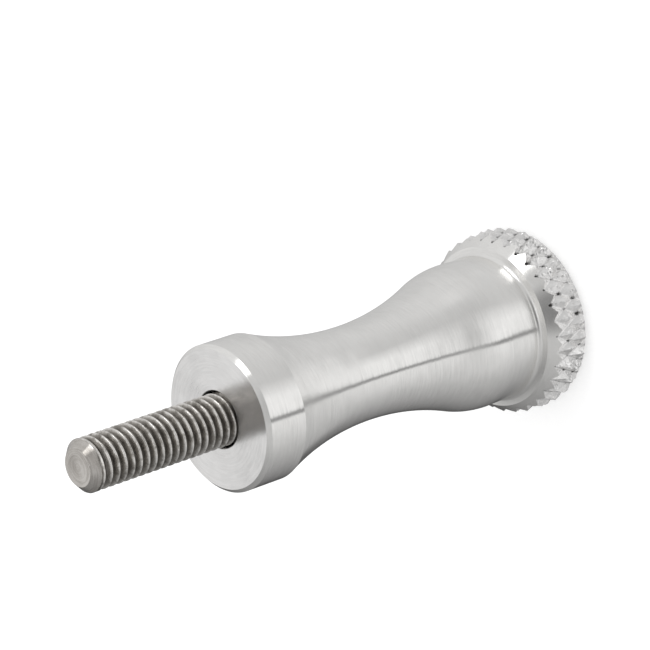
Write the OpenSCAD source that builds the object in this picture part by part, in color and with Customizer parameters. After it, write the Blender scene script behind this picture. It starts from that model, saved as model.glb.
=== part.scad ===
// Quick release seat bolt: a hand-turned aluminium grip on a socket head cap screw.
// The bolt stands on the flat face of its knurled head, +Z runs up the axis to the
// tip of the thread, and the origin is the centre of that head face.

/* [Grip] */
// Length of the grip, from its head face to its collar face
grip_len = 47; // [40:0.5:60]
// Diameter of the collar that seats on the clamped part
collar_d = 16.5; // [14:0.1:20]
// Length of the straight band on the collar, with its chamfer
collar_band = 5.25; // [3.5:0.05:8]
// Chamfer on the collar's outer edge
collar_chamfer = 0.45; // [0.2:0.05:1]
// Smallest diameter of the waist, which is one arc from the collar's band to the swell
waist_d = 11; // [9:0.1:13]
// Height of the widest part of the swell above the head face
swell_z = 10.4; // [9:0.1:12]
// Radius that rounds the swell over, towards the waist and towards the neck
swell_arc = 12.3; // [9:0.1:14]
// Step from the swell out to the edge of the shoulder
neck_step = 0.9; // [0.6:0.05:1.4]
// Radius of the fillet in the neck, between the swell and the shoulder
neck_fillet = 0.75; // [0.2:0.05:1]

/* [Head] */
// Diameter over the tips of the knurl
head_d = 21.6; // [18:0.1:26]
// Thickness of the head, from its face to its shoulder
head_h = 6; // [5:0.1:7]
// Width of the bevel between the head face and the tips of the knurl
bevel_w = 1.17; // [0.6:0.01:1.6]
// Height of that bevel
bevel_h = 1.1; // [0.5:0.05:1.3]
// Width of the cone between the tips of the knurl and the shoulder
cone_w = 1.4; // [0.8:0.05:1.8]
// Height of that cone
cone_h = 1.85; // [1:0.05:2.2]

/* [Knurl] */
// Teeth round the head in each row
knurl_teeth = 34; // [24:1:44]
// Depth from the tips to the crossings of the grooves
knurl_depth = 0.75; // [0.4:0.05:0.9]
// Distance between one row of teeth and the next
knurl_row = 1.85; // [1.2:0.05:2.4]
// Height of the lowest full row of teeth
knurl_z = 1.35; // [1:0.05:1.8]
// Turn of the knurl about the axis, in degrees
knurl_turn = 6.6; // [0:0.1:10]

/* [Screw] */
// Nominal diameter of the thread
thread_d = 6; // [5:0.5:7.5]
// Pitch of the thread, which sets the blank that it is rolled on
thread_pitch = 1; // [0.8:0.05:1.25]
// Length of the screw under its head
screw_len = 60; // [48:1:75]
// Chamfer on the tip of the thread
tip_chamfer = 0.9; // [0.4:0.1:1.4]
// Diameter of the screw's head
screw_head_d = 9.9; // [9.5:0.05:12]
// Height of the screw's head
screw_head_h = 6; // [5:0.1:7.5]
// Chamfer on the rim of the screw's head
screw_head_rim = 0.15; // [0.1:0.05:0.4]
// Fillet under the screw's head
under_head = 0.25; // [0.1:0.05:0.4]

/* [Socket] */
// Width across the flats of the hexagon
hex_af = 5.1; // [4:0.05:6.2]
// Depth of the hexagon below the screw's head face
hex_depth = 2.9; // [2.4:0.1:3.6]
// Width of the countersink outside the hexagon's corners
hex_sink = 0.18; // [0.05:0.01:0.3]
// Width of the ledge between the hexagon's flats and the drilled floor
hex_ledge = 0.7; // [0.4:0.05:1]
// Depth of the cone between that ledge and the drilled floor
hex_drill = 0.5; // [0.3:0.05:0.9]

/* [Fits] */
// Gap all round the screw's head in its counterbore
head_gap = 0.22; // [0.1:0.01:0.5]
// Depth of the screw's head below the head face
head_sink = 0.2; // [0:0.05:0.5]
// Gap all round the thread in the grip's bore
bore_gap = 0.25; // [0.1:0.05:0.5]

/* [Hidden] */
$fn = 120;
// Overshoot of a cut past the face that it opens, and of one outline into the next
over = 1;
// Arcs that touch are cut this much deeper, so that they always cross
kiss = 0.0005;

// Head, from its face up to its shoulder, and the swell above it
head_r = head_d / 2;
face_r = head_r - bevel_w;
shoulder_r = head_r - cone_w;
cone_z = head_h - cone_h;
swell_r = shoulder_r - neck_step;

// Waist: one arc that starts at the collar's band and runs smoothly into the swell. With
// its lift at the band called a, the two ends fit where a solves this quadratic
collar_r = collar_d / 2;
waist_r = waist_d / 2;
collar_cut = collar_r - waist_r;
swell_cut = swell_r - waist_r;
waist_span = grip_len - collar_band - swell_z;
quad_a = swell_cut / collar_cut - 1;
quad_c = swell_cut * (collar_cut + 2 * swell_arc - swell_cut) - pow(waist_span, 2);
waist_lift = -quad_c / (waist_span + sqrt(pow(waist_span, 2) - quad_a * quad_c));
waist_z = grip_len - collar_band - waist_lift;
waist_arc = (pow(waist_lift, 2) + pow(collar_cut, 2)) / (2 * collar_cut);
waist_axis = waist_r + waist_arc;
// Height at which the waist's arc runs into the swell's
blend_z = swell_z + (waist_z - swell_z) * swell_arc / (waist_arc + swell_arc);

// Neck: its fillet touches the swell's arc and the shoulder
swell_axis = swell_r - swell_arc;
fillet_z = head_h + neck_fillet;
fillet_r = swell_axis + sqrt(pow(swell_arc + neck_fillet, 2) - pow(swell_z - fillet_z, 2));
neck_z = swell_z - (swell_z - fillet_z) * swell_arc / (swell_arc + neck_fillet);

// Blank for the knurl: this much is left over the tips, so that the cut makes every face
stock = 0.2;
// Knurl grid: tips and crossings take turns, round each row and from row to row
knurl_columns = 2 * knurl_teeth;
knurl_first = knurl_z - knurl_row * ceil(knurl_z / knurl_row);
knurl_rows = ceil((head_h - knurl_first) / knurl_row);
knurl_rim = head_r + 2;

// Screw and the holes that it fits
thread_r = thread_d / 2;
screw_head_r = screw_head_d / 2;
bore_r = thread_r + bore_gap;
counterbore_r = screw_head_r + head_gap;
seat_z = head_sink + screw_head_h;
tip_z = seat_z + screw_len;
// The blank has the pitch radius of a 60 degree thread
blank_r = thread_r - thread_pitch * 3 * sqrt(3) / 16;
fillet_end_r = blank_r + under_head;

// Outline of the head before it is knurled
module head_outline() {
    polygon([
        [0, 0],
        [face_r, 0],
        [head_r + stock, bevel_h * (1 + stock / bevel_w)],
        [head_r + stock, cone_z - stock * cone_h / cone_w],
        [shoulder_r, head_h],
        [0, head_h]
    ]);
}

// Outline of the neck, with its fillet turned out
module neck_outline() {
    difference() {
        translate([0, head_h - over])
            square([fillet_r, neck_z - head_h + over]);
        translate([fillet_r, fillet_z])
            circle(r = neck_fillet + kiss);
    }
}

// Outline of the swell, from inside the head to inside the waist
module swell_outline() {
    intersection() {
        translate([swell_axis, swell_z])
            circle(r = swell_arc, $fn = 360);
        translate([0, head_h - over])
            square([swell_r + over, blend_z - head_h + 2 * over]);
    }
}

// Outline of the waist and the collar: straight stock with the waist's arc turned out
module waist_outline() {
    difference() {
        polygon([
            [0, blend_z],
            [swell_r, blend_z],
            [swell_r, waist_z],
            [collar_r, waist_z],
            [collar_r, grip_len - collar_chamfer],
            [collar_r - collar_chamfer, grip_len],
            [0, grip_len]
        ]);
        translate([waist_axis, waist_z])
            circle(r = waist_arc + kiss, $fn = 720);
    }
}

// One point of the knurl's grid: a tip where row and column agree, else a crossing
function knurl_point(row, column) =
    let (
        r = (row + column) % 2 == 0 ? head_r : head_r - knurl_depth,
        a = column * 360 / knurl_columns + knurl_turn
    )
    [r * cos(a), r * sin(a), knurl_first + row * knurl_row];

// One point on the outside of the ring that cuts the knurl
function rim_point(row, column) =
    let (a = column * 360 / knurl_columns + knurl_turn)
    [knurl_rim * cos(a), knurl_rim * sin(a), knurl_first + row * knurl_row];

// Two facets of one cell of the grid, parted by the groove between its crossings
function knurl_cell(row, column) =
    let (
        next = (column + 1) % knurl_columns,
        a = row * knurl_columns + column,
        b = row * knurl_columns + next,
        c = a + knurl_columns,
        d = b + knurl_columns
    )
    (row + column) % 2 == 0 ? [[a, b, c], [b, d, c]] : [[a, d, c], [a, b, d]];

// Ring with a diamond knurl inside it: taken from the head, it leaves rows of pyramids
module knurl_cutter() {
    grid = [
        for (row = [0:knurl_rows])
            for (column = [0:knurl_columns - 1])
                knurl_point(row, column)
    ];
    rims = [
        for (row = [0, knurl_rows])
            for (column = [0:knurl_columns - 1])
                rim_point(row, column)
    ];
    low = len(grid);
    high = low + knurl_columns;
    top = knurl_rows * knurl_columns;
    inside = [
        for (row = [0:knurl_rows - 1])
            for (column = [0:knurl_columns - 1])
                each knurl_cell(row, column)
    ];
    outside = [
        for (i = [0:knurl_columns - 1])
            let (next = (i + 1) % knurl_columns)
            each [
                [i, low + i, low + next, next],
                [top + i, top + next, high + next, high + i],
                [low + i, high + i, high + next, low + next]
            ]
    ];
    polyhedron(points = concat(grid, rims), faces = concat(inside, outside), convexity = 8);
}

// Turned aluminium grip: collar, waist, swell and knurled head are one piece
module grip() {
    color("#D9D9D7")
        difference() {
            rotate_extrude()
                difference() {
                    union() {
                        head_outline();
                        neck_outline();
                        swell_outline();
                        waist_outline();
                    }
                    translate([0, -over])
                        square([bore_r, grip_len + 2 * over]);
                    translate([0, -over])
                        square([counterbore_r, seat_z + over]);
                }
            knurl_cutter();
        }
}

// Hexagon socket, sunk from the screw's head face
module hex_socket() {
    corner_d = hex_af / cos(30);
    sink_d = corner_d + 2 * hex_sink;
    rotate([0, 0, 30])
        translate([0, 0, -over])
            cylinder(h = over + hex_depth, d = corner_d, $fn = 6);
    translate([0, 0, -over])
        cylinder(h = over, d = sink_d);
    cylinder(h = (sink_d - hex_af) / 2 / tan(60), d1 = sink_d, d2 = hex_af);
    translate([0, 0, hex_depth])
        cylinder(h = hex_drill, d1 = hex_af, d2 = hex_af - 2 * hex_ledge);
}

// Stainless socket head cap screw, with its thread drawn to the crests
module cap_screw() {
    color("#8F8C88")
        difference() {
            rotate_extrude()
                difference() {
                    polygon([
                        [0, head_sink],
                        [screw_head_r - screw_head_rim, head_sink],
                        [screw_head_r, head_sink + screw_head_rim],
                        [screw_head_r, seat_z],
                        [fillet_end_r, seat_z],
                        [fillet_end_r, seat_z + under_head],
                        [blank_r, seat_z + under_head],
                        [blank_r, grip_len],
                        [thread_r, grip_len],
                        [thread_r, tip_z - tip_chamfer],
                        [thread_r - tip_chamfer, tip_z],
                        [0, tip_z]
                    ]);
                    translate([fillet_end_r, seat_z + under_head])
                        circle(r = under_head);
                }
            translate([0, 0, head_sink])
                hex_socket();
        }
}

grip();
cap_screw();
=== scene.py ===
"""Looks of the quick release seat bolt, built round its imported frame.

The bolt is two pieces: a grip turned from one aluminium bar, with a diamond knurl rolled
into its head, and a stainless socket head cap screw that stands out of the collar. Sizes
are in millimetres in the classes below and become metres where a mesh is made.
"""

from __future__ import annotations

import logging
import math
from dataclasses import dataclass, field
from enum import Enum
from functools import partial
from typing import Callable, Iterable, Union

import bmesh
import bpy
import numpy as np
from mathutils import Matrix, Vector

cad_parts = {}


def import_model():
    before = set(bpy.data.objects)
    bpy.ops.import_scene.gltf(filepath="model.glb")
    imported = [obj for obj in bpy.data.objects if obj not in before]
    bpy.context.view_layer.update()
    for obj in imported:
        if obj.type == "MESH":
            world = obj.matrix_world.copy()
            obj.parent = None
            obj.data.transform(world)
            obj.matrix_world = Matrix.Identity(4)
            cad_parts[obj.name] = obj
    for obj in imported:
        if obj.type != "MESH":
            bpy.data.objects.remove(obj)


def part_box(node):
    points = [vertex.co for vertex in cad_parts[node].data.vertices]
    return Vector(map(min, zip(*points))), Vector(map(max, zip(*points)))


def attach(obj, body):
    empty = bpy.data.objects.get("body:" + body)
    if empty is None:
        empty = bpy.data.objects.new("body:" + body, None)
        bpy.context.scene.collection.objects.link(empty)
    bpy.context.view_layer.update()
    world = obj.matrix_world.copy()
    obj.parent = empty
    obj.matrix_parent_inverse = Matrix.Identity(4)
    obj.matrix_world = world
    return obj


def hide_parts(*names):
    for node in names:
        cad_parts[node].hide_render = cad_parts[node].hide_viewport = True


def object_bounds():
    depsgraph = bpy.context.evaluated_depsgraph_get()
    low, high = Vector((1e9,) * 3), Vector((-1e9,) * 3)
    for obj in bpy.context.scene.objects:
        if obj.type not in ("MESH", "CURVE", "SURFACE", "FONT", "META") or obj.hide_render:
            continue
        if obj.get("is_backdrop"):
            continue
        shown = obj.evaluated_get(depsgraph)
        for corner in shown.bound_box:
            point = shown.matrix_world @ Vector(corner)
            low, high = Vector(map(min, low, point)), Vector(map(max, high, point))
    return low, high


MM = 0.001
TURN = 2.0 * math.pi
LOG = logging.getLogger("seat_bolt")

Array = np.ndarray
Node = bpy.types.Node
Object = bpy.types.Object
Material = bpy.types.Material
# What feeds a socket: a node's first output in use, or one that is named
Link = Union[Node, tuple[Node, str]]
# Adds a node to one node tree
Adder = Callable[..., Node]
# Two numbers that go together: the ends of a range, a radius and a height, a share and a depth
Pair = tuple[float, float]
# A straight stretch of a profile, as radius and height at its two ends
Line = tuple[Pair, Pair]
# Tones round the compass, as angle in degrees and sRGB grey from 0 to 255
Tones = tuple[tuple[int, int], ...]


class Slot(Enum):
    """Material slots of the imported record."""

    ALUMINIUM = "turned_aluminium"
    STEEL = "stainless_steel"


class Trait(Enum):
    """Measures that a mesh carries for its finishes, one number a vertex."""

    TOOL_PATH = "tool_path_mm"
    # Relief sets polish and also colour: low relief is painted darker as the shade in grooves, pits and
    # the socket
    RELIEF = "relief"


def linear(hex_colour: str) -> tuple[float, ...]:
    """Turn an sRGB hex colour into a linear one.

    Args:
        hex_colour: the colour as "#RRGGBB".

    Returns:
        Red, green, blue and an alpha of one.
    """
    channels = [int(hex_colour[i : i + 2], 16) / 255 for i in (1, 3, 5)]
    made = [c / 12.92 if c <= 0.04045 else ((c + 0.055) / 1.055) ** 2.4 for c in channels]
    return (*made, 1.0)


def add_node(
    tree: bpy.types.NodeTree, kind: str, inputs: dict[str | int, object] | None = None, **settings: object
) -> Node:
    """Add a shader node with its settings and what its sockets get.

    Args:
        tree: the node tree that gets the node.
        kind: the node's type without its common prefix, such as "Bump".
        inputs: for an input socket, by name or index, its constant or the link that feeds it.
        **settings: properties of the node itself.

    Returns:
        The new node.
    """
    node = tree.nodes.new("ShaderNode" + kind)
    for name, value in settings.items():
        setattr(node, name, value)
    for name, value in (inputs or {}).items():
        source = value[0] if isinstance(value, tuple) else value
        if not isinstance(source, Node):
            node.inputs[name].default_value = value
        elif source is value:
            first = next(output for output in source.outputs if output.enabled)
            tree.links.new(first, node.inputs[name])
        else:
            tree.links.new(source.outputs[value[1]], node.inputs[name])
    return node


def ramp(node: Node, stops: Iterable[tuple[float, str]]) -> None:
    """Set a colour ramp's stops.

    Args:
        node: a colour ramp node.
        stops: positions from 0 to 1 and their sRGB hex colours, in order.
    """
    elements = node.color_ramp.elements
    made = list(stops)
    while len(elements) < len(made):
        elements.new(1.0)
    for element, (position, colour) in zip(elements, made):
        element.position = position
        element.color = linear(colour)


def node_tree(owner: Material | bpy.types.World) -> Adder:
    """Give a material or a world an empty node tree.

    Args:
        owner: the material or world.

    Returns:
        A function that adds nodes to the tree.
    """
    owner.use_nodes = True
    owner.node_tree.nodes.clear()
    return partial(add_node, owner.node_tree)


def show(item: Object) -> None:
    """Put an object in the scene."""
    bpy.context.scene.collection.objects.link(item)


@dataclass(frozen=True)
class Metal:
    """A metal whose colour and roughness follow one tone over its surface."""

    name: str

    def _surface(
        self,
        add: Adder,
        tone: Node,
        stops: Iterable[tuple[float, str]],
        span: Pair,
        roughness: Pair,
        sockets: dict[str, object],
    ) -> None:
        """Add the nodes from the tone to the material's output.

        Args:
            add: adds a node to the material.
            tone: the tone.
            stops: tones and their sRGB hex colours, in order.
            span: tones between which the roughness runs.
            roughness: the roughness at the two ends of that span.
            sockets: what the shader's other sockets get.
        """
        colour = add("ValToRGB", {"Fac": tone})
        ramp(colour, stops)
        ends = zip(("From Min", "From Max", "To Min", "To Max"), (*span, *roughness))
        rough = add("MapRange", {"Value": tone, **dict(ends)})
        metal = {"Metallic": 1.0, "Base Color": colour, "Roughness": rough}
        shader = add("BsdfPrincipled", {**metal, **sockets})
        add("OutputMaterial", {"Surface": shader})

    def material(self) -> Material:
        """Make the metal's material; each kind of finish has its own."""
        raise NotImplementedError


@dataclass(frozen=True)
class TurnedMetal(Metal):
    """Metal cut on a lathe: fine rings from the tool's feed, which smear reflections across them.

    The rings lie round the axis, so the metal is smooth along them and rough across them.
    Each ring also wavers a little, which frays the edges of reflections, and the tool's
    chatter leaves faint wide bands, which step them. Real feed marks are 0.05 to 0.1 mm
    apart; they are drawn ring_mm apart, as coarse as they need to be to show.
    """

    bright: str
    dull: str
    roughness: float
    anisotropy: float
    ring_mm: float = 0.16
    ring_tilt: float = 0.05
    waver_mm: float = 2.4
    waver_tilt: float = 0.07
    chatter_mm: float = 1.4
    chatter_tilt: float = 0.03
    blotch_mm: float = 3.0
    roughness_swing: float = 0.05
    # Tones at which the metal is quite dull and quite bright, and those between which its
    # roughness swings
    colour_span: Pair = (0.36, 0.6)
    roughness_span: Pair = (0.3, 0.7)

    def _streaks(self, add: Adder, spot: Link, path: Link) -> Node:
        """Add the noise that follows the rings.

        Args:
            add: adds a node to the material.
            spot: its texture coordinates.
            path: the length of the tool's path.

        Returns:
            A node whose colour holds three separate streaky values.
        """
        long = 1.0 / (self.waver_mm * MM)
        along = add("Mapping", {"Vector": spot, "Scale": (long, long, 0.0)})
        count = add("Math", {0: path, 1: 1.0 / self.ring_mm}, operation="MULTIPLY")
        rings = add("CombineXYZ", {"Z": count})
        both = add("VectorMath", {0: along, 1: rings}, operation="ADD")
        return add("TexNoise", {"Vector": both, "Scale": 1.0, "Detail": 3.0, "Roughness": 0.6})

    def _normal(self, add: Adder, streaks: Node, path: Link) -> Node:
        """Add the surface's direction, tilted round the axis and across it.

        Args:
            add: adds a node to the material.
            streaks: the noise that follows the rings.
            path: the length of the tool's path.

        Returns:
            A node whose vector is the tilted direction.
        """
        direction: Link = (add("NewGeometry"), "Normal")
        ring = add("Tangent", direction_type="RADIAL", axis="Z")
        across = add("VectorMath", {0: direction, 1: ring}, operation="CROSS_PRODUCT")
        centred = add("VectorMath", {0: (streaks, "Color"), 1: (0.5, 0.5, 0.5)}, operation="SUBTRACT")
        tilt = (self.waver_tilt, self.ring_tilt, 0.0)
        fine = add("VectorMath", {0: centred, 1: tilt}, operation="MULTIPLY")
        wave = {"W": path, "Scale": 1.0 / self.chatter_mm, "Detail": 1.0}
        chatter = add("TexNoise", wave, noise_dimensions="1D")
        lean = self.chatter_tilt
        band = add("MapRange", {"Value": chatter, "To Min": -lean, "To Max": lean})
        tilts = add("VectorMath", {0: fine, 1: add("CombineXYZ", {"Y": band})}, operation="ADD")
        parts = add("SeparateXYZ", {0: tilts})
        for way, amount in ((ring, "X"), (across, "Y")):
            step = add("VectorMath", {0: way, "Scale": (parts, amount)}, operation="SCALE")
            direction = add("VectorMath", {0: direction, 1: step}, operation="ADD")
        return add("VectorMath", {0: direction}, operation="NORMALIZE")

    def material(self) -> Material:
        """Make the material.

        Returns:
            A metal whose rings follow the tool's path along the profile.
        """
        material = bpy.data.materials.new(self.name)
        add = node_tree(material)
        spot = (add("TexCoord"), "Object")
        path = (add("Attribute", attribute_name=Trait.TOOL_PATH.value), "Fac")
        streaks = self._streaks(add, spot, path)
        cloud = {"Scale": 1.0 / (self.blotch_mm * MM), "Detail": 4.0, "Roughness": 0.6}
        blotches = add("TexNoise", {"Vector": spot, **cloud})
        tone = add("Mix", {"A": streaks, "B": blotches, "Factor": 0.5}, data_type="FLOAT")
        stops = zip(self.colour_span, (self.dull, self.bright))
        roughness = (self.roughness + self.roughness_swing, self.roughness - self.roughness_swing)
        # A quarter turn makes reflections smear across the rings
        grain = {
            "Anisotropic": self.anisotropy,
            "Anisotropic Rotation": 0.25,
            "Normal": self._normal(add, streaks, path),
            "Tangent": add("Tangent", direction_type="RADIAL", axis="Z"),
        }
        self._surface(add, tone, stops, self.roughness_span, roughness, grain)
        return material


@dataclass(frozen=True)
class FormedMetal(Metal):
    """Metal pressed between rolls or knocked out by a broach: torn, grainy, brighter where it rubs.

    The mesh carries its own relief, from 0 in the bottom of a groove to 1 on a crest. The
    crests are polished by handling, so they are smoother and the grooves rougher; the grooves' darker
    colour is painted shade for the shade that falls in them.
    """

    # Colours of crest, flank and groove: the darker flank and groove colours are painted shade
    crest: str
    flank: str
    groove: str
    crest_roughness: float
    groove_roughness: float
    grain_mm: float = 0.35
    grain_depth_mm: float = 0.01
    grain_stretch: float = 1.0
    grain_share: float = 0.25
    # Relief at which the groove's colour ends, the flank's starts and the crest's starts
    groove_end: float = 0.12
    flank_start: float = 0.55
    crest_start: float = 0.86
    # Relief between which the roughness runs from the groove's to the crest's
    polish_span: Pair = (0.15, 0.85)
    # Grime takes up to this much off the relief, as its noise rises through the span
    grime: float = 0.0
    grime_mm: float = 1.3
    grime_span: Pair = (0.46, 0.68)

    def material(self) -> Material:
        """Make the material.

        Returns:
            A metal whose colour and roughness follow the mesh's relief.
        """
        material = bpy.data.materials.new(self.name)
        add = node_tree(material)
        relief = (add("Attribute", attribute_name=Trait.RELIEF.value), "Fac")
        spot = (add("TexCoord"), "Object")
        drawn = add("Mapping", {"Vector": spot, "Scale": (1.0, 1.0, self.grain_stretch)})
        fine = {"Scale": 1.0 / (self.grain_mm * MM), "Detail": 5.0, "Roughness": 0.65}
        grain = add("TexNoise", {"Vector": drawn, **fine})
        polish_and_shade = add("Mix", {"A": relief, "B": grain, "Factor": self.grain_share}, data_type="FLOAT")
        wide = {"Scale": 1.0 / (self.grime_mm * MM), "Detail": 4.0, "Roughness": 0.7}
        dirt = add("TexNoise", {"Vector": spot, **wide})
        low, high = self.grime_span
        lost = add("MapRange", {"Value": dirt, "From Min": low, "From Max": high, "To Max": self.grime})
        tone_level = add("Math", {0: polish_and_shade, 1: lost}, operation="SUBTRACT", use_clamp=True)
        # Low relief takes the groove's colour, a painted shade in the hollows
        starts = (self.groove_end, self.flank_start, self.crest_start)
        stops = zip(starts, (self.groove, self.flank, self.crest))
        roughness = (self.groove_roughness, self.crest_roughness)
        bump = add("Bump", {"Height": grain, "Strength": 1.0, "Distance": self.grain_depth_mm * MM})
        self._surface(add, tone_level, stops, self.polish_span, roughness, {"Normal": bump})
        return material


# Aluminium bar, finish-turned with a round-nosed tool: nearly white, with a long soft gleam
# across the rings and a sharp one along them.
TURNED_ALUMINIUM = TurnedMetal(
    "aluminium_finish_turned", "#F8F7F5", "#F0EFED", 0.2, 0.95, ring_tilt=0.04, waver_tilt=0.05
)
# The same bar faced off square: the rings are coarser and the sheen greyer.
FACED_ALUMINIUM = TurnedMetal(
    "aluminium_faced", "#F8F7F6", "#F0EFEE", 0.24, 0.95, ring_mm=0.2, ring_tilt=0.03, waver_tilt=0.02
)
# The same bar where the knurling rolls have pressed it: sparkling crests and torn flanks, with grooves
# and pits painted near black as the shade in them.
KNURLED_ALUMINIUM = FormedMetal(
    "aluminium_diamond_knurled", "#FDFCFB", "#F0EFEE", "#353433", 0.14, 0.26,
    grain_mm=0.22, grain_depth_mm=0.015, groove_end=0.17, flank_start=0.3,
)
# A2 stainless wire with a rolled thread: grey-brown flanks and polished crests, drawn out
# round the axis by the rolls. The crests are partly polish and partly a painted glint, and the flanks are
# painted darker towards the roots as the shade in the grooves.
ROLLED_STAINLESS = FormedMetal(
    "stainless_thread_rolled", "#F5F2EE", "#A39F99", "#6B6762", 0.18, 0.38,
    grain_depth_mm=0.02, grain_stretch=4.0, grime=0.36,
)
# The same steel turned, on the screw's head and on the end of its thread: greyer than the
# aluminium, with coarser rings.
TURNED_STAINLESS = TurnedMetal(
    "stainless_turned", "#D6D2CD", "#ACA7A1", 0.21, 0.85, ring_mm=0.2, ring_tilt=0.09
)
# The same steel broached to a hexagon: streaks that run with the broach, and a floor painted dark as the
# shade deep in the socket.
BROACHED_STAINLESS = FormedMetal(
    "stainless_broached", "#A8A4A0", "#8C8884", "#6A6662", 0.3, 0.44, grain_mm=0.12, grain_stretch=0.08
)


@dataclass
class Ring:
    """One ring of vertices round the axis.

    Attributes:
        radius: radius of each vertex in mm; a single zero makes a point on the axis.
        height: height of each vertex in mm.
        relief: relief of each vertex, from 0 in a groove to 1 on a crest, which sets its polish and its
            painted shade.
        path: length of the profile up to here, in mm.
        finish: index of the finish on the faces that lead up to this ring.
        sharp: whether the surface has an edge here.
        corners: columns at which the surface has an edge that runs up the profile.
        lead: on a helix, how many rings it climbs in one turn; 0 on a plain ring.
    """

    radius: Array
    height: Array
    relief: Array
    path: float = 0.0
    finish: int = 0
    sharp: bool = False
    corners: Iterable[int] = ()
    lead: int = 0


@dataclass(kw_only=True)
class TurnedPiece:
    """A piece made of rings along a profile, which are joined into one closed mesh.

    The profile runs anticlockwise as seen with the axis on the left: outwards under the
    piece, up its outside, inwards over it and down its bore. Each kind of piece has a
    profile method that adds its rings.
    """

    columns: int
    start_deg: float = 0.0
    rings: list[Ring] = field(default_factory=list)

    # The piece's name, the CAD node that it stands for and the slot of its finish
    NAME = ""
    NODE = ""
    SLOT = Slot.ALUMINIUM
    # Its finishes in the order of their indices, and the indices whose faces stay flat
    FINISHES = ()
    FACETTED = ()
    # Whether its last ring joins its first, as on a piece with a bore
    CLOSED = False

    def ring(
        self,
        radius: float | Array,
        height: float | Array,
        relief: float | Array = 0.5,
        columns: int | None = None,
        **traits: object,
    ) -> None:
        """Add one ring, whose radius, height and relief are one for all or one a column.

        Args:
            radius: its radius in mm.
            height: its height in mm.
            relief: relief of its vertices.
            columns: number of columns, where it differs from the piece's.
            **traits: its finish, sharp, corners and lead.
        """
        r, z, lift = (np.full(columns or self.columns, each, float) for each in (radius, height, relief))
        path = 0.0
        if self.rings:
            last = self.rings[-1]
            path = last.path + math.hypot(r.mean() - last.radius.mean(), z.mean() - last.height.mean())
        self.rings.append(Ring(r, z, lift, path, **traits))

    def line(
        self, radius: float, height: float, steps: int = 1, sharp: bool = True, finish: int = 0
    ) -> None:
        """Add rings along a straight stretch of the profile, which starts at the last ring.

        Args:
            radius: radius in mm at its end.
            height: height in mm at its end.
            steps: number of rings.
            sharp: whether the surface has an edge at its end.
            finish: index of the finish.
        """
        start = self.rings[-1]
        for left in reversed(range(steps)):
            r = radius + (start.radius - radius) * left / steps
            z = height + (start.height - height) * left / steps
            self.ring(r, z, finish=finish, sharp=sharp and left == 0)

    def arc(self, centre: Pair, radius: float, ends: Pair, steps: int, side: int) -> None:
        """Add rings along an arc of the profile, after its first point.

        Args:
            centre: radius and height of the arc's centre in mm.
            radius: the arc's radius in mm.
            ends: heights at which it starts, which gets no ring, and ends.
            steps: number of rings.
            side: 1 where the arc bulges away from the axis, -1 where it curves towards it.
        """
        first, last = (math.asin(max(-1.0, min(1.0, (z - centre[1]) / radius))) for z in ends)
        for i in range(1, steps + 1):
            a = first + (last - first) * i / steps
            self.ring(centre[0] + side * radius * math.cos(a), centre[1] + radius * math.sin(a))

    @staticmethod
    def _bridge(low: int, low_count: int, high: int, high_count: int) -> list[tuple[int, ...]]:
        """Join two rings.

        Args:
            low: index of the first ring's first vertex.
            low_count: its number of vertices.
            high: index of the second ring's first vertex.
            high_count: its number of vertices.

        Returns:
            The faces between them, as tuples of vertex indices.
        """
        if low_count == high_count:
            n = low_count
            return [(low + i, low + (i + 1) % n, high + (i + 1) % n, high + i) for i in range(n)]
        if high_count == 1:
            return [(low + i, low + (i + 1) % low_count, high) for i in range(low_count)]
        if low_count == 1:
            return [(low, high + (i + 1) % high_count, high + i) for i in range(high_count)]
        faces: list[tuple[int, ...]] = []
        fine_is_low = low_count > high_count
        fine, coarse = (low_count, high_count) if fine_is_low else (high_count, low_count)
        f0, c0 = (low, high) if fine_is_low else (high, low)
        each = fine // coarse
        for j in range(coarse):
            near, far = c0 + j, c0 + (j + 1) % coarse
            for i in range(each):
                a, b = f0 + j * each + i, f0 + (j * each + i + 1) % fine
                tip = near if i < each // 2 else far
                faces.append((a, b, tip) if fine_is_low else (b, a, tip))
            middle = f0 + j * each + each // 2
            faces.append((middle, far, near) if fine_is_low else (middle, near, far))
        return faces

    def _next_turn(self, k: int) -> int:
        """Ring that a ring's last column runs into: itself, or the next turn of its helix."""
        target = k + self.rings[k].lead
        return target if target < len(self.rings) and self.rings[target].lead else k

    def _mesh(self) -> bpy.types.Mesh:
        """Join the rings.

        Returns:
            The mesh in metres, with its finishes, its measures and its sharp edges.
        """
        counts = [len(ring.radius) for ring in self.rings]
        starts = np.cumsum([0, *counts]).tolist()
        points: list[Array] = []
        for ring, n in zip(self.rings, counts):
            angle = math.radians(self.start_deg) + TURN * np.arange(n) / n
            x, y = ring.radius * np.cos(angle), ring.radius * np.sin(angle)
            points.append(np.stack([x, y, ring.height]))
        faces: list[tuple[int, ...]] = []
        finish_of: list[int] = []
        last = len(counts)
        for k in range(last if self.CLOSED else last - 1):
            after = (k + 1) % last
            made = self._bridge(starts[k], counts[k], starts[after], counts[after])
            if self.rings[after].lead:
                low, high = starts[k] + counts[k], starts[after] + counts[after]
                made[-1] = (low - 1, starts[self._next_turn(k)], starts[self._next_turn(after)], high - 1)
            faces += made
            finish_of += [self.rings[after].finish] * len(made)
        mesh = bpy.data.meshes.new(self.NAME)
        mesh.from_pydata((np.hstack(points).T * MM).tolist(), [], faces)
        mesh.polygons.foreach_set("material_index", finish_of)
        mesh.polygons.foreach_set("use_smooth", [index not in self.FACETTED for index in finish_of])
        for finish in self.FINISHES:
            mesh.materials.append(finish.material())
        path = np.repeat([ring.path for ring in self.rings], counts)
        relief = np.concatenate([ring.relief for ring in self.rings])
        for trait, values in ((Trait.TOOL_PATH, path), (Trait.RELIEF, relief)):
            attribute = mesh.attributes.new(trait.value, "FLOAT", "POINT")
            attribute.data.foreach_set("value", values.astype(np.float32))
        self._mark_edges(mesh, counts)
        mesh.validate()
        mesh.update()
        return mesh

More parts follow.
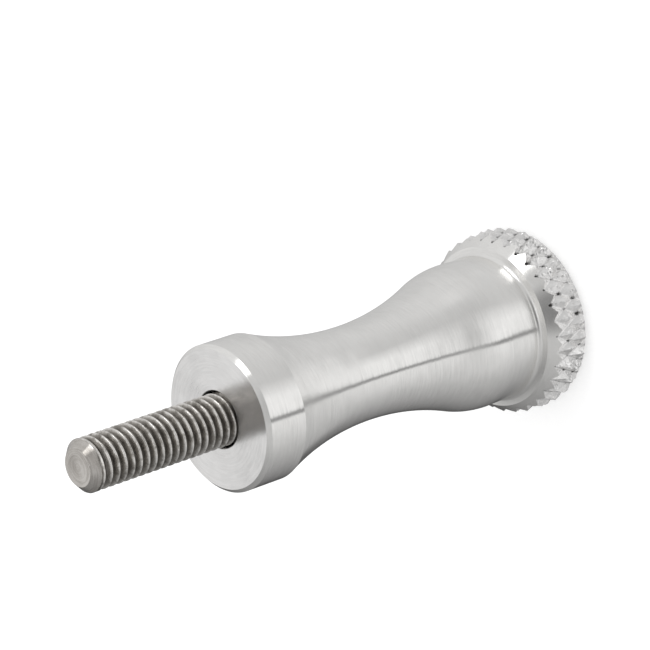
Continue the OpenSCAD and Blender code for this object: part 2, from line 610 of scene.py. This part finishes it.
    def _mark_edges(self, mesh: bpy.types.Mesh, counts: list[int]) -> None:
        """Mark the mesh's sharp edges.

        Args:
            mesh: the mesh, whose vertices are in the rings' order.
            counts: number of vertices in each ring.
        """
        ring_of = np.repeat(np.arange(len(counts)), counts)
        corners = [np.isin(np.arange(n), list(r.corners)) for r, n in zip(self.rings, counts)]
        corner = np.concatenate(corners)
        sharp_ring = np.array([ring.sharp for ring in self.rings])
        pairs = np.empty(len(mesh.edges) * 2, np.int64)
        mesh.edges.foreach_get("vertices", pairs)
        a, b = pairs.reshape(-1, 2).T
        same = ring_of[a] == ring_of[b]
        sharp = (same & sharp_ring[ring_of[a]]) | (~same & corner[a] & corner[b])
        attribute = mesh.attributes.new("sharp_edge", "BOOLEAN", "EDGE")
        attribute.data.foreach_set("value", sharp)

    def profile(self) -> None:
        """Add the piece's rings; each kind of piece has its own."""
        raise NotImplementedError

    def dress(self, piece: Object) -> None:
        """Mend and dress the mesh once it is made, where a piece needs that."""

    def build(self) -> Object:
        """Build and dress the piece, and put it in the place of its CAD node.

        Returns:
            The finished piece.
        """
        self.profile()
        piece = bpy.data.objects.new(self.NAME, self._mesh())
        show(piece)
        self.dress(piece)
        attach(piece, "root")
        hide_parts(self.NODE)
        return piece


@dataclass
class DiamondKnurl:
    """Rows of pyramids rolled into the head's band by two helical grooves that cross.

    No two teeth come out quite alike: each has its own height and leans its own way, and its
    flanks are torn, worst on the side where the rolls let go of the bar. The blunt rolls leave
    a narrow polished land along every groove. The pits where the grooves cross are painted
    dark as shade, most on the ragged side.
    """

    teeth: int = 34
    depth: float = 0.75
    row: float = 1.85
    first_row: float = 1.35
    tip_radius: float = 10.8
    # Columns of the mesh from a tip to the crossing beside it
    samples: int = 12
    tooth_loss: float = 0.12
    tooth_lean: float = 0.38
    groove_land: float = 0.08
    pit_depth: float = 0.1
    pit_share: float = 0.2
    # How deep the pits where grooves cross come out, and how dark they are painted as shade: the
    # span of the draws, what is taken off them, and the power that makes light pits commoner than dark
    # ones
    pit_shade_span: float = 0.24
    pit_shade_drop: float = 0.04
    pit_shade_skew: float = 0.7
    # Tears: their depth, their size, and the share of one that reaches a groove's bottom
    tear_depth: float = 0.09
    tear_columns: int = 2
    tear_height: float = 0.17
    tear_in_groove: float = 0.3
    # Where the ragged side faces, how much more it is torn, and how much deeper and darker, as painted
    # shade, its pits come out
    ragged_deg: float = -50.0
    ragged_tear: float = 1.2
    ragged_pit_shade: float = 0.12
    # The power that makes heavy damage rarer than light
    damage_skew: float = 1.5
    seed: int = 7

    # Rows in the tables of teeth and of tears, enough for the band's height, and the row of
    # tears at the head face
    TOOTH_ROWS = 8
    TEAR_ROWS = 40
    TEAR_START = 2.0
    # Halvings that find where the knurl runs out into a cone
    HALVINGS = 30

    def __post_init__(self) -> None:
        """Draw the teeth's heights and leans, the pits' depth and painted shade, and the tears."""
        draw = np.random.default_rng(self.seed)
        teeth = (2 * self.teeth, self.TOOTH_ROWS)
        tears = (self.columns // self.tear_columns, self.TEAR_ROWS)
        self._loss = draw.uniform(0.0, 1.0, teeth) ** self.damage_skew
        self._lean = draw.uniform(-1.0, 1.0, (2, *teeth)) * self.tooth_lean
        self._pit_shade_offset = self.pit_shade_span * draw.uniform(0.0, 1.0, teeth) ** self.pit_shade_skew - self.pit_shade_drop
        self._tears = draw.uniform(0.0, 1.0, tears) ** self.damage_skew

    @property
    def columns(self) -> int:
        """Columns of the mesh round the band."""
        return 2 * self.teeth * self.samples

    def _index(self, first: Array, second: Array) -> tuple[Array, Array]:
        """Index of whole places in a table that closes on itself round the band."""
        around, along = (first + second).astype(int), (first - second).astype(int)
        return around % (2 * self.teeth), along % self.TOOTH_ROWS

    def _relief(self, u: Array, v: Array) -> Array:
        """Height of the pyramids.

        Args:
            u: each point's place across the first set of grooves.
            v: its place across the second set.

        Returns:
            The relief at each point, from 0 in a groove to 1 on a tip.
        """
        cu, cv = np.round(u / 2), np.round(v / 2)
        index = self._index(cu, cv)
        flanks = []
        for spot, centre, lean in ((u, cu, self._lean[0]), (v, cv, self._lean[1])):
            offset, tip = spot - 2 * centre, lean[index]
            flanks.append(np.where(offset > tip, (1 - offset) / (1 - tip), (1 + offset) / (1 + tip)))
        land = self.groove_land
        raised = np.clip((np.minimum(*flanks) - land) / (1 - land), 0.0, 1.0)
        return raised - self.tooth_loss * self._loss[index] * raised**2

    def _torn(self, column: Array, height: Array) -> Array:
        """Tear at each point, smoothed between the draws of a table.

        Args:
            column: column of the mesh.
            height: height above the head face in mm.

        Returns:
            The tear, from 0 to 1.
        """
        table = self._tears
        u, v = column / self.tear_columns, height / self.tear_height + self.TEAR_START
        i, j = np.floor(u).astype(int), np.floor(v).astype(int)
        du, dv = u - i, v - j
        i0, i1 = i % table.shape[0], (i + 1) % table.shape[0]
        low, high = (table[i0, row] * (1 - du) + table[i1, row] * du for row in (j, j + 1))
        return low * (1 - dv) + high * dv

    def surface(self, column: Array, height: Array) -> tuple[Array, Array]:
        """The knurled band before its ends are turned away.

        Args:
            column: column of the mesh.
            height: height above the head face in mm.

        Returns:
            Each point's radius in mm, and its polish and painted shade, from 0 in the pits where
            grooves cross, which are painted darkest as shade, to 1 on a tip.
        """
        # Both sets of grooves lie where a place across the set is an odd whole number
        across = column / self.samples
        along = (height - self.first_row) / self.row + 1.0
        u, v = across + along, across - along
        angle = TURN * column / self.columns - math.radians(self.ragged_deg)
        ragged = np.clip(np.cos(angle), 0.0, 1.0) ** 2
        relief = self._relief(u, v)
        torn = self._torn(column, height) * (1.0 + self.ragged_tear * ragged)
        tear = self.tear_depth * torn * (self.tear_in_groove + (1.0 - self.tear_in_groove) * relief)
        # Each crossing's pit is deepened and painted dark as shade, the more so on the ragged side
        tone_level = self._pit_shade_offset[self._index(np.floor(u / 2), np.floor(v / 2))] - self.ragged_pit_shade * ragged
        far = (np.abs(np.mod(u, 2.0) - 1.0) + np.abs(np.mod(v, 2.0) - 1.0)) / 2 + tone_level
        pit = np.clip(1.0 - far / self.pit_share, 0.0, 1.0)
        radius = self.tip_radius - self.depth * (1.0 - relief) - tear - self.pit_depth * pit
        return radius, np.clip(far, 0.0, 1.0)

    def run_out(self, cone: Line) -> Array:
        """Height at which the knurl meets a cone, column by column.

        Args:
            cone: the cone's profile, from its narrow end to its wide end.

        Returns:
            The height of the meeting, in mm, for each column.
        """
        (r0, z0), (r1, z1) = cone
        column = np.arange(self.columns)
        low, high = np.zeros(self.columns), np.ones(self.columns)
        for _ in range(self.HALVINGS):
            middle = (low + high) / 2
            inside = r0 + (r1 - r0) * middle < self.surface(column, z0 + (z1 - z0) * middle)[0]
            low, high = np.where(inside, middle, low), np.where(inside, high, middle)
        return z0 + (z1 - z0) * low


@dataclass(kw_only=True)
class Grip(TurnedPiece):
    """The turned grip: collar, waist, swell and knurled head, all one piece."""

    length: float
    head_radius: float = 10.8
    collar_radius: float = 8.25
    collar_band: float = 5.25
    collar_chamfer: float = 0.45
    waist_radius: float = 5.5
    swell_height: float = 10.4
    swell_arc: float = 12.3
    neck_step: float = 0.9
    neck_taper_deg: float = 1.5
    neck_fillet: float = 0.55
    shoulder_fall_deg: float = 12.0
    head_thickness: float = 6.0
    bevel_width: float = 1.17
    bevel_height: float = 1.1
    cone_width: float = 1.4
    cone_height: float = 1.85
    bore_radius: float = 3.25
    counterbore_radius: float = 5.17
    counterbore_depth: float = 6.2
    edge_break: float = 0.06
    columns: int = 204
    start_deg: float = 6.6
    knurl: DiamondKnurl = field(default_factory=DiamondKnurl)

    NAME = "turned_grip"
    NODE = "grip"
    FINISHES = (TURNED_ALUMINIUM, FACED_ALUMINIUM, KNURLED_ALUMINIUM)
    FACED = 1
    KNURLED = 2
    FACETTED = (KNURLED,)
    CLOSED = True
    # Where the rings lie on the bevel and on the cone, in shares of their widths
    BEVEL_SHARES = (0.35, 0.7, 1.0)
    CONE_SHARES = (0.3, 0.65, 1.0)
    # Steps from the bevel to the knurl's whole rows, and from those to the cone
    BEVEL_STEPS = 7
    CONE_STEPS = 9
    # Polish of the edges where the knurl's ends are turned away
    EDGE_POLISH = 0.8
    # Width of the head face's last stretch, on which the columns become the knurl's
    FACE_RIM = 0.5
    # Rings on the neck's fillet, the swell, the waist, a straight stretch and the collar face
    FILLET_STEPS = 12
    SWELL_STEPS = 36
    WAIST_STEPS = 90
    STRAIGHT_STEPS = 6
    FACE_STEPS = 3

    def __post_init__(self) -> None:
        """Work out the radii of the head's flat face, of the shoulder and of the swell."""
        self.face_radius = self.head_radius - self.bevel_width
        self.shoulder_radius = self.head_radius - self.cone_width
        self.swell_radius = self.shoulder_radius - self.neck_step

    def _waist(self) -> tuple[float, float, float]:
        """Work out the waist's arc, which starts at the collar's band and touches the swell.

        Returns:
            The arc's radius, the height of its centre and the height where it ends.
        """
        collar_cut = self.collar_radius - self.waist_radius
        swell_cut = self.swell_radius - self.waist_radius
        span = self.length - self.collar_band - self.swell_height
        a = swell_cut / collar_cut - 1
        c = swell_cut * (collar_cut + 2 * self.swell_arc - swell_cut) - span**2
        lift = -c / (span + math.sqrt(span**2 - a * c))
        centre = self.length - self.collar_band - lift
        arc = (lift**2 + collar_cut**2) / (2 * collar_cut)
        share = self.swell_arc / (arc + self.swell_arc)
        return arc, centre, self.swell_height + (centre - self.swell_height) * share

    def _neck(self) -> tuple[float, ...]:
        """Work out the neck, whose fillet lies between the swell's taper and the shoulder.

        Returns:
            Radius and height of the taper's wide end, radius and height of the fillet's
            centre, and the height of the shoulder's edge, down to which the shoulder falls.
        """
        taper = math.radians(self.neck_taper_deg)
        taper_z = self.swell_height - self.swell_arc * math.sin(taper)
        taper_r = self.swell_radius - self.swell_arc * (1 - math.cos(taper))
        fillet_z = self.head_thickness + self.neck_fillet
        drop = (taper_z - fillet_z) * math.tan(taper)
        fillet_r = taper_r - drop + self.neck_fillet / math.cos(taper)
        fall = math.radians(self.shoulder_fall_deg)
        flat = self.shoulder_radius - fillet_r
        edge_z = fillet_z - self.neck_fillet / math.cos(fall) - flat * math.tan(fall)
        return taper_r, taper_z, fillet_r, fillet_z, edge_z

    def _knurled_band(self) -> None:
        """Add the bevel, the knurled band and the cone behind it, to the shoulder's edge."""
        knurl, n = self.knurl, self.knurl.columns
        cone_z, edge_z = self.head_thickness - self.cone_height, self._neck()[-1]
        bevel = ((self.face_radius, 0.0), (self.head_radius, self.bevel_height))
        cone = ((self.shoulder_radius, edge_z), (self.head_radius, cone_z))
        low, high = knurl.run_out(bevel), knurl.run_out(cone)

        def turned(line: Line, z: Array, sharp: bool) -> None:
            """Add a ring on a turned cone at a height of its own in each column."""
            (r0, z0), (r1, z1) = line
            self.ring(r0 + (r1 - r0) * (z - z0) / (z1 - z0), z, self.EDGE_POLISH, n, sharp=sharp)

        for share in self.BEVEL_SHARES:
            turned(bevel, low * share, share == 1.0)
        step = knurl.row / knurl.samples
        first = math.ceil((self.bevel_height - knurl.first_row) / step) * step + knurl.first_row
        last = math.floor((cone_z - knurl.first_row) / step) * step + knurl.first_row
        heights = [low + (first - low) * i / self.BEVEL_STEPS for i in range(1, self.BEVEL_STEPS)]
        heights += [np.full(n, first + step * i) for i in range(round((last - first) / step) + 1)]
        heights += [last + (high - last) * i / self.CONE_STEPS for i in range(1, self.CONE_STEPS + 1)]
        for z in heights:
            radius, shade_and_polish = knurl.surface(np.arange(n), z)
            self.ring(radius, z, shade_and_polish, n, finish=self.KNURLED)
        self.rings[-1].sharp = True
        for share in self.CONE_SHARES:
            turned(cone, high + (edge_z - high) * share, share == 1.0)

    def _body(self) -> None:
        """Add the shoulder, the neck, the swell, the waist and the collar."""
        taper_r, taper_z, fillet_r, fillet_z, _ = self._neck()
        fillet, fall = self.neck_fillet, math.radians(self.shoulder_fall_deg)
        foot = fillet_z - fillet * math.cos(fall)
        neck = fillet_z + fillet * math.sin(math.radians(self.neck_taper_deg))
        self.ring(fillet_r - fillet * math.sin(fall), foot)
        self.arc((fillet_r, fillet_z), fillet, (foot, neck), self.FILLET_STEPS, -1)
        self.line(taper_r, taper_z, self.STRAIGHT_STEPS, sharp=False)
        arc, centre, blend = self._waist()
        swell = (self.swell_radius - self.swell_arc, self.swell_height)
        self.arc(swell, self.swell_arc, (taper_z, blend), self.SWELL_STEPS, 1)
        top = self.length - self.collar_band
        self.arc((self.waist_radius + arc, centre), arc, (blend, top), self.WAIST_STEPS, -1)
        self.rings[-1].sharp = True
        self.line(self.collar_radius, self.length - self.collar_chamfer, self.STRAIGHT_STEPS)
        self.line(self.collar_radius - self.collar_chamfer, self.length)

    def profile(self) -> None:
        """Add the rings from the counterbore's mouth, over the outside, to its seat."""
        cut = self.edge_break
        self.ring(self.counterbore_radius, cut, sharp=True)
        self.ring(self.counterbore_radius + cut, 0.0, finish=self.FACED, sharp=True)
        self.ring(self.face_radius - self.FACE_RIM, 0.0, finish=self.FACED)
        self.ring(self.face_radius, 0.0, columns=self.knurl.columns, finish=self.FACED, sharp=True)
        self._knurled_band()
        self._body()
        self.line(self.bore_radius + cut, self.length, self.FACE_STEPS, finish=self.FACED)
        self.line(self.bore_radius, self.length - cut)
        self.line(self.bore_radius, self.counterbore_depth)
        self.line(self.counterbore_radius, self.counterbore_depth, finish=self.FACED)


@dataclass
class RolledThread:
    """Sixty degree thread, rolled to the crests' radius, drawn along its helix."""

    crest_radius: float = 2.96
    pitch: float = 1.0
    root_depth: float = 0.6
    # From a crest's middle down a flank: share of the pitch, and depth in shares of the pitch
    half_profile: tuple[Pair, ...] = (
        (0.0, 0.0), (0.05, 0.003), (0.085, 0.03), (0.16, 0.16),
        (0.24, 0.3), (0.32, 0.44), (0.38, 0.53), (0.44, 0.585),
    )

    def profile(self) -> list[Pair]:
        """One pitch of the profile.

        Returns:
            Shares of the pitch, from 0 up to 1, and the depth at each in mm.
        """
        falling = [(1.0 - share, depth) for share, depth in reversed(self.half_profile[1:])]
        whole = [*self.half_profile, (0.5, self.root_depth), *falling]
        return [(share, depth * self.pitch) for share, depth in whole]


@dataclass(kw_only=True)
class CapScrew(TurnedPiece):
    """The socket head cap screw, its thread rolled and its tip turned."""

    face_height: float
    tip_height: float
    head_radius: float
    head_thickness: float = 6.0
    rim: float = 0.15
    thread_start: float = 45.3
    blank_radius: float = 2.675
    tip_chamfer: float = 0.9
    thread_radius: float = 3.0
    # Distance below the chamfer at which the thread's groove has faded out
    thread_fade: float = 0.1
    socket_flats: float = 5.1
    socket_depth: float = 2.9
    sink_width: float = 0.18
    ledge: float = 0.7
    drill: float = 0.5
    # The dish that the cutter leaves in the end face: share of its radius, and depth
    dish: tuple[Pair, ...] = ((0.98, 0.0), (0.6, 0.02), (0.3, 0.07), (0.12, 0.06))
    dish_centre: float = 0.04
    columns: int = 144
    thread: RolledThread = field(default_factory=RolledThread)

    NAME = "cap_screw_threaded"
    NODE = "cap_screw"
    SLOT = Slot.STEEL
    FINISHES = (TURNED_STAINLESS, ROLLED_STAINLESS, BROACHED_STAINLESS)
    TURNED = 0
    ROLLED = 1
    BROACHED = 2
    # Where the rings lie on the socket's wall, in shares of its depth
    WALL_SHARES = (0.33, 0.66, 1.0)
    # Polish and painted shade of the drilled floor's middle and rim, of the corner round it and of
    # the wall's foot, darkest deep in the socket, how much the wall's rises to its mouth, and the polish
    # of the thread that is cut off
    FLOOR_SHADE_POLISH = 0.2
    RIM_SHADE_POLISH = 0.3
    CORNER_SHADE_POLISH = 0.1
    WALL_SHADE_POLISH = 0.2
    WALL_RISE = 0.5
    CUT_POLISH = 0.97
    # How far from the chamfer's cone, in mm, the middle of one of its faces may lie
    CHAMFER_SLACK = 0.01
    # Distances in metres below which vertices are merged and edges are dropped
    MERGED = 1e-7
    DROPPED = 1e-8

    @property
    def tip_radius(self) -> float:
        """Radius of the end face."""
        return self.thread_radius - self.tip_chamfer

    def _socket(self) -> None:
        """Add the socket, from its drilled floor out to the head's face."""
        n, sixth = self.columns, TURN / 6
        flats, broached = self.socket_flats / 2, self.BROACHED
        hexagon = flats / np.cos(np.mod(TURN * np.arange(n) / n, sixth) - sixth / 2)
        corners = range(0, n, n // 6)
        sink = flats / math.cos(sixth / 2) + self.sink_width
        floor = self.face_height + self.socket_depth
        drilled = floor + self.drill
        self.ring(0.0, drilled, columns=1, finish=broached)
        self.ring((flats - self.ledge) / 2, drilled, self.FLOOR_SHADE_POLISH, finish=broached)
        self.ring(flats - self.ledge, drilled, self.RIM_SHADE_POLISH, finish=broached, sharp=True)
        self.ring(flats, floor, finish=broached, sharp=True)
        self.ring(hexagon, floor, self.CORNER_SHADE_POLISH, finish=broached, sharp=True, corners=corners)
        mouth = self.face_height + (sink - hexagon) * math.tan(sixth / 2)
        for share in self.WALL_SHARES:
            # The wall is painted darker towards its foot, as the shade deep in the socket
            z, polish_and_shade = floor + (mouth - floor) * share, self.WALL_SHADE_POLISH + self.WALL_RISE * share
            self.ring(hexagon, z, polish_and_shade, finish=broached, sharp=share == 1.0, corners=corners)
        self.ring(sink, self.face_height, sharp=True)

    def _head(self) -> None:
        """Add the head's face, rim, side and seat, and the blank up to the thread."""
        seat = self.face_height + self.head_thickness
        self.line(self.head_radius - self.rim, self.face_height)
        self.line(self.head_radius, self.face_height + self.rim)
        self.line(self.head_radius, seat)
        self.line(self.blank_radius, seat)
        self.line(self.blank_radius, self.thread_start, sharp=False)

    def _thread(self) -> None:
        """Add the thread, turn by turn, with the tip's chamfer that cuts it.

        A vertex beyond either end of the thread is drawn back to that end, so the turns
        run out at a plane; the doubled vertices are merged afterwards.
        """
        thread, start, tip = self.thread, self.thread_start, self.tip_height
        share_of_turn = np.arange(self.columns) / self.columns
        run_out = tip - self.tip_chamfer - self.thread_fade
        profile = thread.profile()
        for turn in range(-1, math.ceil((tip - start) / thread.pitch) + 1):
            for share, depth in profile:
                z = start + (turn + share + share_of_turn) * thread.pitch
                r = thread.crest_radius - depth * np.clip((run_out - z) / thread.pitch, 0.0, 1.0)
                below, above = z < start, z > tip
                z = np.clip(z, start, tip)
                cone = self.tip_radius + (tip - z)
                # The relief falls with the groove's depth, so the finish paints the groove darker as
                # shade
                relief = np.where(cone < r, self.CUT_POLISH, 1.0 - depth / thread.root_depth)
                r = np.where(above, self.tip_radius, np.minimum(r, cone))
                r = np.where(below, self.blank_radius, r)
                self.ring(r, z, relief, finish=self.ROLLED, lead=len(profile))

    def profile(self) -> None:
        """Add the rings from the socket's floor, over the head and the thread, to the tip."""
        self._socket()
        self._head()
        self._thread()
        for share, depth in self.dish:
            self.ring(self.tip_radius * share, self.tip_height - depth)
        self.ring(0.0, self.tip_height - self.dish_centre, columns=1)

    def dress(self, piece: Object) -> None:
        """Merge the thread's doubled vertices, and give the tip's chamfer the turned finish.

        Args:
            piece: the screw.
        """
        work = bmesh.new()
        work.from_mesh(piece.data)
        bmesh.ops.remove_doubles(work, verts=work.verts, dist=self.MERGED)
        bmesh.ops.dissolve_degenerate(work, edges=work.edges, dist=self.DROPPED)
        work.to_mesh(piece.data)
        work.free()
        for face in piece.data.polygons:
            x, y, z = face.center / MM
            cone = self.tip_radius + self.tip_height - z
            if abs(math.hypot(x, y) - cone) < self.CHAMFER_SLACK:
                face.material_index = self.TURNED


@dataclass
class Studio:
    """Camera, floor, soft lamp and the pale walls that the metal reflects.

    Directions are compass angles about the bolt: 0 is where the camera stands.
    """

    centre: Vector
    elevation_deg: float = 39.3
    roll_deg: float = -108.2
    distance: float = 350.0
    lens: float = 181.2
    sensor: float = 36.0
    clip: Pair = (10.0, 20000.0)
    aim: tuple[float, float, float] = (6.05, -8.88, 3.05)
    lamp_deg: float = 67.0
    lamp_elevation_deg: float = 30.0
    lamp_distance: float = 700.0
    lamp_width: float = 270.0
    lamp_height: float = 400.0
    lamp_watts: float = 0.68
    floor_size: float = 3000.0
    floor_gap: float = 0.02
    floor_tone: str = "#E4E4E4"
    # Light that the floor adds for the camera alone, so that it meets the background
    floor_glow: float = 0.42
    # What the camera sees behind the bolt, and what the walls throw on matt surfaces
    background: str = "#FFFFFF"
    wall_light: str = "#F2F2F2"
    # Tones of the table top, of the low and high walls above it and of the ceiling
    table: Tones = (
        (-180, 140), (-150, 165), (-50, 217), (-10, 238), (50, 233), (70, 214), (160, 200), (180, 140)
    )
    low_walls: Tones = (
        (-180, 130), (-170, 70), (-155, 70), (-145, 110), (-80, 185), (-45, 225),
        (-20, 245), (5, 245), (30, 198), (90, 214), (160, 200), (180, 130),
    )
    high_walls: Tones = (
        (-180, 228), (-170, 215), (-150, 140), (-115, 150), (-60, 195),
        (40, 200), (85, 227), (145, 220), (180, 228),
    )
    ceiling: Tones = ((-180, 140), (-60, 212), (-20, 250), (15, 255), (35, 225), (130, 200), (180, 140))
    # Where each of these passes into the next, as sines of the elevation
    table_edge: Pair = (-0.82, -0.74)
    wall_edge: Pair = (-0.42, 0.24)
    ceiling_edge: Pair = (0.83, 0.87)
    # The narrow dark gap between two low walls: where it crosses the horizon, how far it
    # leans, the half widths of its core and of its soft edges, its tone, and the sine of the
    # angle over which it fades at the sides, so that it has no twin on the far side
    gap_compass_deg: float = -23.3
    gap_lean: float = 0.075
    gap_core_deg: float = 1.0
    gap_edge_deg: float = 4.0
    gap_tone: str = "#848484"
    gap_fade: float = 0.05
    # The dark opening that the camera looks through: its middle, the angles from it at which
    # its core ends and its soft edge ends, its tone and how much of that shows
    opening_compass_deg: float = -4.0
    opening_elevation_deg: float = 27.0
    opening_core_deg: float = 6.0
    opening_edge_deg: float = 34.0
    opening_tone: str = "#686868"
    opening_share: float = 0.9

    @staticmethod
    def _direction(compass_deg: float, elevation_deg: float = 0.0) -> Vector:
        """Unit vector towards a compass angle and an elevation."""
        a, e = math.radians(compass_deg), math.radians(elevation_deg)
        return Vector((math.sin(a) * math.cos(e), -math.cos(a) * math.cos(e), math.sin(e)))

    def camera(self) -> None:
        """Place the camera, which lies nearly on its side above the thread's end."""
        back = self._direction(0.0, self.elevation_deg)
        roll = Matrix.Rotation(math.radians(self.roll_deg), 3, back)
        upright = (-back).to_track_quat("-Z", "Y").to_matrix()
        spot = self.centre + Vector(self.aim) * MM + back * self.distance * MM
        data = bpy.data.cameras.new("camera")
        data.lens, data.sensor_width = self.lens, self.sensor
        data.clip_start, data.clip_end = (each * MM for each in self.clip)
        camera = bpy.data.objects.new("camera", data)
        camera.matrix_world = Matrix.Translation(spot) @ (roll @ upright).to_4x4()
        show(camera)
        bpy.context.scene.camera = camera

    def lamp(self) -> None:
        """Hang one soft lamp beside the camera."""
        data = bpy.data.lights.new("softbox", "AREA")
        data.shape = "RECTANGLE"
        data.size, data.size_y = self.lamp_width * MM, self.lamp_height * MM
        data.energy = self.lamp_watts
        lamp = bpy.data.objects.new("softbox", data)
        away = self._direction(self.lamp_deg, self.lamp_elevation_deg)
        lamp.location = self.centre + away * self.lamp_distance * MM
        lamp.rotation_mode = "QUATERNION"
        lamp.rotation_quaternion = away.to_track_quat("Z", "Y")
        show(lamp)

    def floor(self) -> None:
        """Lay the pale floor: white to the camera but for the bolt's shadow, clear to the metal."""
        half, z = self.floor_size * MM / 2, -self.floor_gap * MM
        mesh = bpy.data.meshes.new("floor")
        corners = [(-half, -half, z), (half, -half, z), (half, half, z), (-half, half, z)]
        mesh.from_pydata(corners, [], [(0, 1, 2, 3)])
        material = bpy.data.materials.new("paper_floor")
        add = node_tree(material)
        paper = add("BsdfDiffuse", {"Color": linear(self.floor_tone)})
        lit = add("AddShader", {0: paper, 1: add("Emission", {"Strength": self.floor_glow})})
        rays = add("LightPath")
        seen = add("MixShader", {0: (rays, "Is Camera Ray"), 1: paper, 2: lit})
        clear = add("BsdfTransparent")
        whole = add("MixShader", {0: (rays, "Is Glossy Ray"), 1: seen, 2: clear})
        add("OutputMaterial", {"Surface": whole})
        mesh.materials.append(material)
        floor = bpy.data.objects.new("floor", mesh)
        show(floor)
        floor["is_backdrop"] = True

    def _gap(self, add: Adder, view: Link) -> Node:
        """Mark the directions that look into the dark gap between two walls.

        Args:
            add: adds a node to the world.
            view: the direction.

        Returns:
            A node that gives 1 in the gap and 0 elsewhere.
        """
        ahead = self._direction(self.gap_compass_deg)
        across = self._direction(self.gap_compass_deg + 90) - Vector((0.0, 0.0, self.gap_lean))
        offset, facing = (
            add("VectorMath", {0: view, 1: tuple(axis)}, operation="DOT_PRODUCT")
            for axis in (across.normalized(), ahead)
        )
        distance = add("Math", {0: offset}, operation="ABSOLUTE")
        core, edge = (math.sin(math.radians(a)) for a in (self.gap_core_deg, self.gap_edge_deg))
        fall = {"Value": distance, "From Min": core, "From Max": edge, "To Min": 1.0, "To Max": 0.0}
        inside = add("MapRange", fall, interpolation_type="SMOOTHSTEP")
        in_front = add("MapRange", {"Value": facing, "From Max": self.gap_fade})
        return add("Math", {0: inside, 1: in_front}, operation="MULTIPLY")

    def _opening(self, add: Adder, view: Link) -> Node:
        """Mark the directions that look into the dark opening.

        Args:
            add: adds a node to the world.
            view: the direction.

        Returns:
            A node whose value is highest in the opening's core and 0 outside its soft edge.
        """
        middle = self._direction(self.opening_compass_deg, self.opening_elevation_deg)
        near = add("VectorMath", {0: view, 1: tuple(middle)}, operation="DOT_PRODUCT")
        core, edge = (math.cos(math.radians(a)) for a in (self.opening_core_deg, self.opening_edge_deg))
        rise = {"Value": near, "From Min": edge, "From Max": core, "To Max": self.opening_share}
        return add("MapRange", rise, interpolation_type="SMOOTHSTEP")

    def world(self) -> None:
        """Set the studio's walls: white to the camera, pale greys to the metal."""
        world = bpy.data.worlds.new("studio")
        add = node_tree(world)
        view = (add("TexCoord"), "Generated")
        axes = add("SeparateXYZ", {0: view})
        # The place round the compass, from 0 to 1, with the camera at a half
        away = add("Math", {0: (axes, "Y"), 1: -1.0}, operation="MULTIPLY")
        angle = add("Math", {0: (axes, "X"), 1: away}, operation="ARCTAN2")
        share = add("Math", {0: angle, 1: 1.0 / TURN, 2: 0.5}, operation="MULTIPLY_ADD")
        compass = add("Math", {0: share}, operation="FRACT")
        bands: list[Node] = []
        for tones in (self.table, self.low_walls, self.high_walls, self.ceiling):
            bands.append(add("ValToRGB", {"Fac": compass}))
            ramp(bands[-1], [((angle + 180) / 360, "#" + f"{grey:02X}" * 3) for angle, grey in tones])
        edges: list[Node] = []
        for low, high in (self.table_edge, self.wall_edge, self.ceiling_edge):
            span = {"Value": (axes, "Z"), "From Min": low, "From Max": high}
            edges.append(add("MapRange", span, interpolation_type="SMOOTHSTEP"))
        studio = bands[0]
        for mask, tone in (
            (edges[0], bands[1]),
            (self._gap(add, view), linear(self.gap_tone)),
            (edges[1], bands[2]),
            (self._opening(add, view), linear(self.opening_tone)),
            (edges[2], bands[3]),
        ):
            studio = add("Mix", {"Factor": mask, "A": studio, "B": tone}, data_type="RGBA")
        rays = add("LightPath")
        to_metal = {"Factor": (rays, "Is Glossy Ray"), "A": linear(self.wall_light), "B": studio}
        soft = add("Mix", to_metal, data_type="RGBA")
        to_camera = {"Factor": (rays, "Is Camera Ray"), "A": soft, "B": linear(self.background)}
        seen = add("Mix", to_camera, data_type="RGBA")
        add("OutputWorld", {"Surface": add("Background", {"Strength": 1.0, "Color": seen})})
        bpy.context.scene.world = world

    def build(self) -> None:
        """Set up the whole studio."""
        for set_up in (self.world, self.floor, self.lamp, self.camera):
            set_up()
        bpy.context.scene.view_settings.view_transform = "Standard"


def main() -> None:
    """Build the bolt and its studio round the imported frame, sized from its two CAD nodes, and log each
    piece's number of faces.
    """
    logging.basicConfig(level=logging.INFO, format="%(name)s: %(message)s")
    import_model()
    frame_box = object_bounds()
    grip_box, screw_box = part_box("grip"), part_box("cap_screw")
    grip = Grip(length=grip_box[1].z / MM)
    screw = CapScrew(
        face_height=screw_box[0].z / MM,
        tip_height=screw_box[1].z / MM,
        head_radius=screw_box[1].x / MM,
    )
    for piece in (grip.build(), screw.build()):
        LOG.info("%s: %d faces", piece.name, len(piece.data.polygons))
    Studio(centre=(frame_box[0] + frame_box[1]) / 2).build()


if __name__ == "__main__":
    main()
